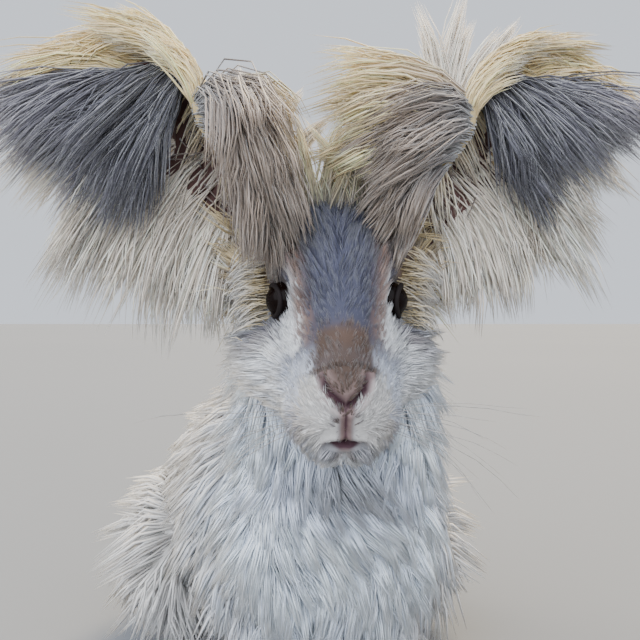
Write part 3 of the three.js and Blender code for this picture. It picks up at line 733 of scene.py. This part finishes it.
# Sample points over the skin, evenly by area and thinned by a weight.
tri_index = np.empty(len(skin_mesh.polygons) * 3, np.int32)
skin_mesh.polygons.foreach_get("vertices", tri_index)
tri_index = tri_index.reshape(-1, 3)
corner = skin_co[tri_index]
tri_area = 0.5 * np.linalg.norm(np.cross(corner[:, 1] - corner[:, 0], corner[:, 2] - corner[:, 0]), axis=1)
skin_no = vertex_data(skin_mesh, "normal")


def sample_skin(weight, count, seed):
    """Random points on the skin, their normals, their places on the UV map, and what drew them."""
    rng = np.random.default_rng(seed)
    chance = tri_area * weight[tri_index].mean(1)
    tri = rng.choice(len(tri_area), count, p=chance / chance.sum())
    a, b = rng.random((2, count))
    a, b = np.where(a + b > 1, 1 - a, a), np.where(a + b > 1, 1 - b, b)
    bary = np.stack([1 - a - b, a, b], -1)[..., None]
    at = (corner[tri] * bary).sum(1)
    normal = unit((skin_no[tri_index[tri]] * bary).sum(1))
    return at, normal, map_places(tri_index[tri, 0]), rng


def lay(flow, normal, lift):
    """A direction that lies along the skin and stands off it by `lift`, in radians."""
    flat = unit(flow - normal * np.sum(flow * normal, -1, keepdims=True))
    return flat * np.cos(lift)[:, None] + normal * np.sin(lift)[:, None]


def vary(rng, base, amount):
    return base * (1 + amount * rng.uniform(-1, 1, len(base)))


def jitter(rng, colour, amount=0.1):
    return np.clip(colour * (1 + amount * rng.normal(0, 1, (len(colour), 1))), 0, 1)


DOWN = np.array([0, 0, -1.0])
clear_of_eye = smooth(eye_distance(skin_co), EYE_RADIUS + 0.6, EYE_RADIUS + 2.4)
bare = np.where(front, 1 - np.clip(dark * 1.3, 0, 1), 1)

# Face: short, smallest on the nose, longer over cheeks and crown
density = 0.35 + smooth(forward, -45, -10) + 1.2 * smooth(forward, 30, 50)
head_weight = (on_head & ~ear_skin) * clear_of_eye * bare * density
roots, normal, uv, rng = sample_skin(head_weight.astype(float), HAIRS["head"], seed=5)
s, f, h = to_head(roots)
a = np.abs(s)
head_back = turn(-FORWARD, np.zeros(3), HEAD_YAW)
head_side = turn(np.array([1.0, 0, 0]), np.zeros(3), HEAD_YAW)
low = 1 - smooth(h, -12, 4)
flow = head_back + head_side * (np.sign(s) * (0.25 + 0.6 * low))[:, None] + DOWN * (0.9 * low)[:, None]
flow = flow + DOWN * (1.6 * smooth(f, 48, 62) * low)[:, None]
length = 4.2 + 8.5 * (1 - smooth(f, -5, 30)) + 8 * low * (1 - smooth(f, 34, 52))
length += 3 * low * smooth(f, 50, 60)
length += 9 * smooth(a, 24, 34) * (1 - smooth(f, -16, 0))
length += 5 * low * (1 - smooth(f, 30, 46))
length = np.where(eye_distance(roots) < EYE_RADIUS + 6, np.minimum(length, 3.6), length)
lips = np.hypot(s / 9.0, (h - MOUTH["up"] - 1.5) / 4.5) < 1
length = np.where(lips & (f > 50), 1.7, length)
lift = np.radians(16 + 14 * low + 8 * (1 - smooth(f, -30, -10)))
start = lay(flow, normal, lift)
end = lay(flow, normal, lift * 0.3)
tone = face_colour(s, f, h)
tone_root = jitter(rng, tone * 0.7, 0.12)
tone_tip = jitter(rng, np.clip(tone * 1.12 + 0.02, 0, 1), 0.16)
width = np.interp(length, [3, 12, 24], [0.55, 0.75, 0.95])
strands("coat_head", roots - normal * 0.6, start, end, vary(rng, length, 0.22), width,
        (tone_root, tone_tip), uv, FACE_HAIR, rings=1, clump=(11, 0.5),
        sway=0.07, shade=0.1, seed=6)

# Neck and chest: plush, in small clumps that fall
is_breast = (skin_region == REGIONS.index("torso")) & (skin_co[:, 1] < -38)
is_neck = (skin_region == REGIONS.index("neck")) | is_breast
neck_weight = is_neck * (0.3 + smooth(-skin_no[:, 1], -0.5, 0.3))
roots, normal, uv, rng = sample_skin(neck_weight.astype(float), HAIRS["chest"], seed=11)


def waves(p, size, seed):
    """A smooth field between about -1 and 1, to turn the lie of the coat from place to place."""
    draw = np.random.default_rng(seed)
    total = np.zeros(len(p))
    for _ in range(6):
        way = unit(draw.normal(0, 1, 3)) / (size * draw.uniform(0.6, 1.5))
        total += np.sin(2 * np.pi * (p @ way) + draw.uniform(0, 6.3))
    return total / 2.6


swirl = 0.95 * waves(roots, 40, 3)
flow = np.array([0.0, 0.05, -1.0]) + head_side * (np.sign(roots[:, 0]) * 0.15 + swirl)[:, None]
lift = np.radians(40 + 12 * waves(roots, 22, 4) + 6 * rng.uniform(-1, 1, len(roots)))
body_back = turn(np.array([0, 1.0, 0]), np.zeros(3), BODY_YAW)
length = vary(rng, 20 + 20 * smooth(normal @ body_back, 0.1, 0.6), 0.3)
tone = body_colour(roots) * (1 + 0.05 * waves(roots, 26, 5))[:, None]
strands("coat_chest", roots - normal, lay(flow, normal, lift), lay(flow, normal, lift * 0.3), length,
        np.full(len(roots), 0.85), (jitter(rng, tone * 0.94, 0.03), jitter(rng, tone * 1.12, 0.05)), uv,
        COAT, rings=1, droop=0.2, clump=(44, 0.55), sway=0.12, shade=0.03, seed=12)

# Body, thighs and tail: long locks that fall down and back
is_body = np.isin(skin_region, [REGIONS.index(n) for n in ("torso", "thigh_left", "thigh_right")]) & ~is_neck
roots, normal, uv, rng = sample_skin(is_body.astype(float), HAIRS["body"], seed=17)
flow = np.array([0, 0, -0.6]) + body_back * (0.85 * smooth(roots[:, 1], -60, 10))[:, None]
lift = np.radians(24 + 8 * rng.uniform(-1, 1, len(roots)))
low_side = 1 - smooth(roots[:, 2], 20, 60)
length = vary(rng, 46 - 26 * low_side, 0.2)
tone = body_colour(roots)
strands("coat_body", roots - normal * 1.5, lay(flow, normal, lift), lay(flow, normal, lift * 0.2), length,
        np.full(len(roots), 2.3), (jitter(rng, tone * 0.7, 0.08), jitter(rng, tone * 1.08, 0.1)), uv, COAT,
        rings=1, droop=0.3, clump=(16, 0.6), sway=0.08, shade=0.06, seed=18)

is_tail = skin_region == REGIONS.index("tail")
roots, normal, uv, rng = sample_skin(is_tail.astype(float), HAIRS["tail"], seed=23)
flow = np.tile(np.array([0, 0.35, 1.0]), (len(roots), 1))
lift = np.radians(np.full(len(roots), 30.0))
tone = body_colour(roots)
strands("coat_tail", roots - normal, lay(flow, normal, lift), lay(flow, normal, lift * 0.4),
        vary(rng, np.full(len(roots), 25.0), 0.2), np.full(len(roots), 1.7),
        (jitter(rng, tone * 0.75, 0.08), jitter(rng, tone * 1.1, 0.1)), uv, COAT, rings=1,
        clump=(14, 0.55), seed=24)

# Legs and feet: short
leg_names = [n for n in REGIONS if "foreleg" in n or "hindfoot" in n]
is_leg = np.isin(skin_region, [REGIONS.index(n) for n in leg_names])
off_floor = skin_co[:, 2] > 1.5
roots, normal, uv, rng = sample_skin((is_leg & off_floor).astype(float), HAIRS["legs"], seed=29)
low_down = 1 - smooth(roots[:, 2], 18, 50)
flow = DOWN * (1 - 0.75 * low_down)[:, None] + np.array([0, -1.0, 0]) * (0.9 * low_down)[:, None]
lift = np.radians(20 + 6 * rng.uniform(-1, 1, len(roots)))
length = vary(rng, 7 + 14 * (1 - low_down), 0.2)
tone = body_colour(roots)
strands("coat_legs", roots - normal * 0.8, lay(flow, normal, lift), lay(flow, normal, lift * 0.2), length,
        np.interp(length, [6, 20], [0.8, 1.3]),
        (jitter(rng, tone * 0.75, 0.08), jitter(rng, tone * 1.1, 0.1)), uv, COAT, rings=1,
        clump=(10, 0.4), seed=30)

# The ears' long hair

# A family of hairs grows from a part of the ear's leaf: `edge` across it, `run` along it, and a face of it.
# `start` is how a hair leaves the leaf and `end` where it tends, each near the head and near the ear's end.
# `length` is given there too, with `swell` added midway and the share `trim` taken off at the far edge.
# `tone` is the colour at the root, then at the tip near the head and near the ear's end.
IVORY = np.array([0.98, 0.87, 0.74])
DUN = np.array([0.40, 0.31, 0.24])
EAR_FAMILIES = {
    "crest": dict(edge=(0.0, 0.24), run=(0.52, 1.0), face=-1, count=1500, length=(30, 52), swell=4,
                  start=((0.1, 0.1, 1), (1, 0, 0.3)), end=((0.9, 0, 0.4), (0.8, 0, -0.65)),
                  tone=(CREAM * 0.92, CREAM, CREAM)),
    "fringe": dict(edge=(0.8, 1.0), run=(0.08, 1.0), face=1, count=2900, length=(46, 56), swell=13,
                   start=((0.5, -0.1, -0.8), (0.95, 0, -0.25)), end=((0.0, 0, -1), (0.65, 0, -0.8)),
                   tone=(IVORY * 0.9, IVORY, IVORY)),
    "fan": dict(edge=(0.08, 0.85), run=(0.68, 1.0), face=1, count=3400, length=(62, 58), swell=6, trim=0.22,
                start=((0.35, -0.5, -0.8), (1, -0.3, 0.1)), end=((0.3, 0, -1), (0.85, 0, -0.5)),
                tone=(SLATE * 0.45, SLATE * 1.15, LILAC * 0.85)),
    "drape": dict(edge=(0.0, 0.4), run=(0.06, 0.56), face=-1, count=1500, length=(28, 60),
                  start=((-0.3, -0.6, -0.5), (-0.45, -0.6, 0.2)), end=((0.02, 0, -1), (-0.1, 0, -1)),
                  tone=(SLATE * 0.55, DUN, DUN * 1.3)),
    "inner": dict(edge=(0.22, 0.62), run=(0.0, 0.52), face=-1, count=900, length=(16, 42),
                  start=((-0.3, -0.5, -0.3), (-0.5, -0.4, 0.5)), end=((0.0, -0.1, -1), (-0.35, 0, -0.9)),
                  tone=(SLATE_LIGHT * 0.6, DUN * 1.3, CREAM * 0.8)),
    "fuzz": dict(edge=(0.35, 0.95), run=(0.05, 0.6), face=1, count=120, length=(14, 18),
                 start=((0.4, -0.5, -0.5), (0.4, -0.4, -0.6)), end=((0.3, -0.1, -1), (0.4, 0, -1)),
                 tone=(HOLLOW * 0.8, DUN, DUN)),
    "back": dict(edge=(0.3, 1.0), run=(0.0, 1.0), face=-1, count=1300, length=(34, 50), swell=10,
                 start=((0.2, 0.6, -0.5), (0.7, 0.6, 0)), end=((0.05, 0.1, -1), (0.7, 0.05, -0.75)),
                 tone=(CREAM * 0.8, IVORY, IVORY)),
    "spine": dict(edge=(0.2, 0.7), run=(0.1, 0.95), face=-1, count=600, length=(26, 40), swell=6,
                  start=((-0.2, 0.7, 0.4), (0.7, 0.7, 0.5)), end=((-0.1, 0.2, -1), (0.7, 0.2, -0.5)),
                  tone=(CREAM * 0.8, CREAM * 0.98, IVORY)),
    "sweep": dict(edge=(0.15, 0.6), run=(0.2, 0.6), face=-1, count=900, length=(40, 74),
                  start=((-0.8, -0.5, 0.5), (-0.9, -0.4, 0.6)), end=((-0.9, 0, -0.6), (-1, 0, -0.3)),
                  tone=(DUN * 1.3, CREAM, CREAM)),
}
THICK_FAMILIES = ("crest", "fringe", "back", "spine", "sweep")
THICK_HAIR, THIN_HAIR = 1.15, 0.95
# The ear of the picture's right has the sweep as well, and these lean over the crown with it.
SWEPT = {"drape": ((-0.35, 0, -0.9), (-0.8, 0, -0.55)), "inner": ((-0.4, -0.1, -0.8), (-0.9, 0, -0.25))}
# How far sideways the hair of each ear may reach
FARTHEST = {-1: 162, 1: 148}
SHORTEST_SHARE = 0.4


def family_strands(sign, stretch, name, rng):
    """The hairs of one family: root, start, end, length, root tone, tip tone and place on the UV map."""
    family = EAR_FAMILIES[name]
    n = family["count"]
    at = ear_at(sign)
    w = rng.uniform(*family["edge"], n)
    s = rng.uniform(*family["run"], n)
    k = (s - family["run"][0]) / (family["run"][1] - family["run"][0])
    across = (w - family["edge"][0]) / (family["edge"][1] - family["edge"][0])
    face = family["face"] * ear_normal(at, w, np.clip(s, 0, 0.995), sign)
    roots = at(w, s) + face * 1.2

    def blend(pair):
        near, far = (np.array(way, float)[None] for way in pair)
        return unit(mix(near, far, k) * np.array([sign, 1, 1]))

    wobble = rng.normal(0, 0.12, (n, 3))
    towards = SWEPT.get(name, family["end"]) if sign > 0 else family["end"]
    start, end = unit(blend(family["start"]) + wobble), unit(blend(towards) + wobble)
    length = np.interp(k, [0, 1], family["length"]) + family.get("swell", 0) * np.sin(np.pi * k)
    length = length * stretch * (1 - family.get("trim", 0) * across) * (1 + 0.2 * rng.uniform(-1, 1, n))
    reach = np.abs(roots[:, 0]) + 0.86 * length * np.abs(unit(start + end)[:, 0])
    kept = np.clip(1 - (reach - FARTHEST[sign]) / length, SHORTEST_SHARE, 1)
    length = length * np.where(end[:, 0] * sign > 0, kept, 1)
    root_tone = np.tile(family["tone"][0], (n, 1))
    tip_tone = mix(family["tone"][1][None], family["tone"][2][None], k ** 2)
    uv = np.stack([(0.02 + 0.46 * w) + (0.5 if family["face"] < 0 else 0), 0.02 + 0.96 * s], -1)
    return roots, start, end, length, root_tone, tip_tone, uv


def ear_coat(piece, sign, stretch, seed):
    rng = np.random.default_rng(seed)
    names = [name for name in EAR_FAMILIES if name != "sweep" or sign > 0]
    sets = [family_strands(sign, stretch, name, rng) for name in names]
    kind = np.concatenate([np.full(len(one[0]), i) for i, one in enumerate(sets)])
    roots, start, end, length, root_tone, tip_tone, uv = map(np.concatenate, zip(*sets))
    widths = np.array([THICK_HAIR if name in THICK_FAMILIES else THIN_HAIR for name in names])
    strands(piece, roots, start, end, length, widths[kind],
            (jitter(rng, root_tone, 0.14), jitter(rng, tip_tone, 0.14)), uv, EAR_HAIR,
            rings=3, droop=0.12, clump=(26, 0.66), sway=0.09, shade=0.15, kind=kind, seed=seed + 1)


ear_coat("coat_ear_left", -1, stretch=1.08, seed=31)
ear_coat("coat_ear_right", 1, stretch=0.86, seed=37)


def tufts(name, rows, per_tuft, spread, width, tone, material, clump, seed, rings=2, droop=0.0):
    """Tufts from a list of (root, start, end, length)."""
    rng = np.random.default_rng(seed)
    roots, start, end, length, uv = [], [], [], [], []
    for i, (root, a, b, size) in enumerate(rows):
        wobble = rng.normal(0, 1, (per_tuft, 3, 3))
        wobble[0] = 0  # the first hair leads its tuft
        roots.append(np.array(root) + spread * wobble[:, 0])
        start.append(unit(np.array(a, float) + 0.1 * wobble[:, 1]))
        end.append(unit(np.array(b, float) + 0.1 * wobble[:, 2]))
        length.append(size * np.append(1, rng.uniform(0.6, 1, per_tuft - 1)))
        across = np.full(per_tuft, (i + 0.5) / len(rows))
        uv.append(np.stack([across, rng.uniform(0.02, 0.98, per_tuft)], -1))
    roots, start, end, length, uv = map(np.concatenate, (roots, start, end, length, uv))
    root_tone, tip_tone = (np.tile(c, (len(roots), 1)) for c in tone)
    strands(name, roots, start, end, length, np.full(len(roots), width),
            (jitter(rng, root_tone, 0.15), jitter(rng, tip_tone, 0.1)), uv, material, rings=rings,
            droop=droop, clump=clump, tuft=np.repeat(np.arange(len(rows)), per_tuft), seed=seed + 1)


# Tufts between the ears: sideways place, lean sideways and length
CROWN_TUFTS = [(-17, -0.55, 60), (-14, -0.3, 62), (-11, -0.1, 44), (-8, -0.5, 40), (-5, 0.1, 50),
               (-2, 0.5, 46), (2, 0.8, 44), (6, 0.15, 36), (9, -0.6, 44), (13, -0.9, 52), (16, -0.2, 40)]
tufts("coat_crown", [(in_head(x, -36 + 3 * (i % 2), 17), (0.3 * lean, -0.1, 1), (lean, -0.05, 0.75), size)
                     for i, (x, lean, size) in enumerate(CROWN_TUFTS)],
      48, 2.4, 0.8, (GREY * 0.6, CREAM * 1.1), EAR_HAIR, (48, 0.85), 41)
# Tall wisps on the ears, as (x, z) of the root and of the tip, and how far they bend sideways on the way
WISPS = [((44, 300), (35, 361), -0.5), ((49, 304), (57, 364), 0.15), ((54, 307), (66, 361), 0.35),
         ((60, 310), (91, 353), 0.3), ((57, 308), (80, 345), 0.5), ((46, 302), (45, 345), -0.2),
         ((-39, 300), (-48, 329), -0.1), ((-36, 298), (-41, 331), 0.1), ((-32, 296), (-34, 323), 0.2),
         ((-30, 288), (-16, 323), 0.4), ((-26, 280), (-4, 306), 0.5)]
WISP_Y = -47


def wisp(root, tip, bend):
    across, tall = tip[0] - root[0], tip[1] - root[1]
    lean = across / tall
    return (root[0], WISP_Y, root[1]), (lean - bend, -0.15, 1), (lean + bend, 0, 1), math.hypot(across, tall)


tufts("coat_wisps", [wisp(*row) for row in WISPS], 110, 2.6, 1.0, (IVORY * 0.95, IVORY), EAR_HAIR,
      (90, 0.72), 43, rings=3)
# Tufts behind each eye, by side, forward and up
TEMPLES = [(s, f, h) for s in (-1, 1) for f, h in ((-16, 6), (-12, -2), (-8, -10), (-20, -2), (-2, -16))]
tufts("coat_temples", [(in_head(s * 31, f, h), head_side * s + np.array([0, 0.15, 0]),
                        head_side * s * 0.6 + np.array([0, 0.3, -0.8]), 20) for s, f, h in TEMPLES],
      90, 4.5, 0.7, (CREAM * 0.6, WHITE), FACE_HAIR, (30, 0.6), 45)

WHISKER = mottled("whisker", 30, (0.05, 0.045, 0.05), (0.7, 0.68, 0.66), 0.4)[0]
# Rows on each side: side, forward, up, how they fall, and length
WHISKERS = [(s, 52 + 2.4 * row, -13 + 3.2 * column, 0.32 * column - 0.75, 46 + 7 * ((row + 2 * column) % 4))
            for s in (-1, 1) for row in range(3) for column in range(4)]
tufts("whiskers", [(in_head(s * 17, f, h), head_side * s + np.array([0, -0.12, fall * 0.4]),
                    head_side * s * 0.8 + np.array([0, 0.25, fall - 0.25]), size)
                   for s, f, h, fall, size in WHISKERS],
      1, 0.6, 0.34, (GREY * 0.5, GREY * 0.4), WHISKER, None, 47, rings=4, droop=0.15)

# Eyes

CORNEA = 1.05
BALL_SIDES, BALL_RINGS = 64, 39
LID_THICK = 1.05
LID_AROUND, LID_ROUND = 72, 10
# Half angles of the opening between the lids, in radians
OPENING_WIDE, OPENING_HIGH = 1.12, 0.95

EYE_LOOKS, shader = mottled("eye_surface", 600, (0.002, 0.001, 0.001), (0.008, 0.003, 0.002), 0.25, "Object")
shader.inputs["Specular IOR Level"].default_value = 0.03
shader.inputs["Coat Weight"].default_value = 0.1
shader.inputs["Coat Roughness"].default_value = 0.02

LID, shader = mottled("eyelid", 700, (0.006, 0.005, 0.005), (0.02, 0.014, 0.014), 0.7)
shader.inputs["Specular IOR Level"].default_value = 0.15


def eye_frame(look):
    axis = unit(look)
    right = unit(np.cross(axis, np.array([0, 0, 1.0])))
    return axis, right, np.cross(right, axis)


def ball(name, centre, look, radius):
    """An eyeball with a raised cornea on the side it looks to."""
    u, v = np.meshgrid(np.arange(BALL_SIDES) / BALL_SIDES, np.linspace(0, 1, BALL_RINGS + 2)[1:-1])
    theta, phi = np.pi * v.ravel(), 2 * np.pi * u.ravel()
    axis, right, top = eye_frame(look)
    swell = radius * (1 + (CORNEA - 1) * bump(theta, 0, 0.55))
    ring = (right * np.cos(phi)[:, None] + top * np.sin(phi)[:, None]) * np.sin(theta)[:, None]
    ring = ring + axis * np.cos(theta)[:, None]
    p = np.vstack([centre + ring * swell[:, None], centre + axis * radius * CORNEA, centre - axis * radius])
    tris = np.array(bands(BALL_RINGS - 1, BALL_SIDES) + caps(BALL_RINGS * BALL_SIDES, BALL_SIDES))
    return add_object(name, mesh_of(name, placed(p), outward(p, tris)), EYE_LOOKS)


def lid_ring(name, centre, look, radius):
    """Upper and lower lid as one almond ring that lies on the ball."""
    axis, right, top = eye_frame(look)
    around = np.linspace(0, 2 * np.pi, LID_AROUND, endpoint=False)
    x = np.sin(OPENING_WIDE) * radius * 1.02 * np.cos(around)
    y = np.sin(OPENING_HIGH) * radius * 1.02 * np.sin(around)
    rad = np.hypot(x, y)
    z = np.sqrt(np.maximum((radius * CORNEA) ** 2 - rad ** 2, 0))
    out = np.stack([x, y], -1) / rad[:, None]
    rings = []
    for j in range(LID_ROUND):
        b = 2 * np.pi * j / LID_ROUND
        r_out, lift = np.cos(b) * LID_THICK, np.sin(b) * LID_THICK
        p = centre + right * (x + out[:, 0] * r_out)[:, None] + top * (y + out[:, 1] * r_out)[:, None]
        rings.append(p + axis * (z + lift - 0.1 * r_out)[:, None])
    p = np.stack(rings, 1).reshape(-1, 3)
    tris = np.array(bands(LID_AROUND, LID_ROUND)) % len(p)
    return add_object(name, mesh_of(name, placed(p), outward(p, tris)), LID)


for s, node in ((-1, "eye_left"), (1, "eye_right")):
    centre = in_head(s * EYE_HALF_SPAN, 0, 0)
    look = unit(in_head(s, 0.2, 0.12) - in_head(0, 0, 0))
    eye = ball(f"eyeball_{node[4:]}", centre, look, EYE_RADIUS)
    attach(eye, "root")
    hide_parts(node)
    lid = lid_ring(f"lids_{node[4:]}", centre, look, EYE_RADIUS)
    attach(lid, "root")

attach(skin, "root")
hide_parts("head", "neck", "torso", "tail", "thigh_left", "thigh_right", "hindfoot_left",
            "hindfoot_right", "foreleg_left", "foreleg_right", "ear_left", "ear_right")

# Stage, light and camera

FLOOR = mottled("floor", 40, (0.17, 0.19, 0.225), (0.185, 0.205, 0.24), 0.8)[0]
# In metres, so far that its edge is the horizon
FLOOR_REACH = 40
corners = [[x * FLOOR_REACH, y * FLOOR_REACH, 0] for x, y in ((-1, -1), (1, -1), (1, 1), (-1, 1))]
floor = add_object("floor", mesh_of("floor", corners, [[0, 1, 2], [0, 2, 3]]), FLOOR)

world = bpy.data.worlds.new("studio")
bpy.context.scene.world = world
world.use_nodes = True
world.node_tree.nodes["Background"].inputs["Color"].default_value = (0.50, 0.53, 0.58, 1)
world.node_tree.nodes["Background"].inputs["Strength"].default_value = 1.8


def sun(name, towards, strength, degrees, colour):
    """A broad soft light that shines from the direction `towards`."""
    data = bpy.data.lights.new(name, "SUN")
    data.energy = strength
    data.angle = math.radians(degrees)
    data.color = colour
    light = bpy.data.objects.new(name, data)
    bpy.context.scene.collection.objects.link(light)
    light.rotation_euler = Vector(towards).to_track_quat("Z", "Y").to_euler()


sun("key", (-0.35, -1.0, 0.6), 4.9, 100, (0.88, 0.93, 1.0))
sun("warm_back", (0.3, 0.7, 0.9), 6.0, 30, (1.0, 0.77, 0.44))
sun("warm_side", (-0.9, 0.5, 0.4), 2.2, 35, (1.0, 0.82, 0.55))

# The photo's view: its width and focal length in pixels, and where it was taken from in millimetres
PHOTO_WIDTH, PHOTO_FOCAL = 640, 754
PHOTO_FROM = [-7.3, -399.0, 213.4]
camera_data = bpy.data.cameras.new("camera")
camera = bpy.data.objects.new("camera", camera_data)
bpy.context.scene.collection.objects.link(camera)
camera_data.sensor_width = 36
camera_data.lens = PHOTO_FOCAL / PHOTO_WIDTH * 36
camera_data.clip_start = 0.01
camera.location = placed(PHOTO_FROM)
camera.rotation_euler = (math.pi / 2, 0, 0)
bpy.context.scene.camera = camera
